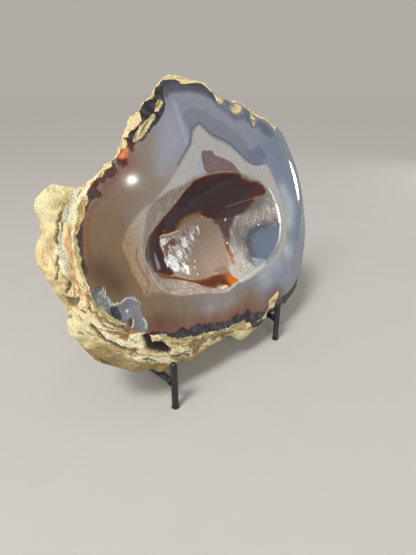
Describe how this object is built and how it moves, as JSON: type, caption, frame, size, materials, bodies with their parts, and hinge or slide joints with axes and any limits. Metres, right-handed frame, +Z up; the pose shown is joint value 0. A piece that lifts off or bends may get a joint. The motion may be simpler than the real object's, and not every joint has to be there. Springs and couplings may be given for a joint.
{
  "type": "polished agate dish on an easel stand",
  "caption": "Half agate nodule with a polished face, a ground oval hollow and a rough rind, leaning back on a small welded rod easel.",
  "frame": {"origin": "centre of the whole object's footprint, on the surface that the four feet stand on", "axes": "+Z up, -Y towards the polished face, +X along the face to the viewer's right"},
  "size_m": [0.2602, 0.1034, 0.211],
  "materials": {
    "agate_stone": "polished face, rough natural rind",
    "black_rod": "satin black"
  },
  "bodies": {
    "root": {"agate": "agate_stone", "post_left": "black_rod", "post_right": "black_rod", "arm_left": "black_rod", "arm_right": "black_rod", "leg_left": "black_rod", "leg_right": "black_rod", "cross_bar": "black_rod"}
  },
  "joints": []
}
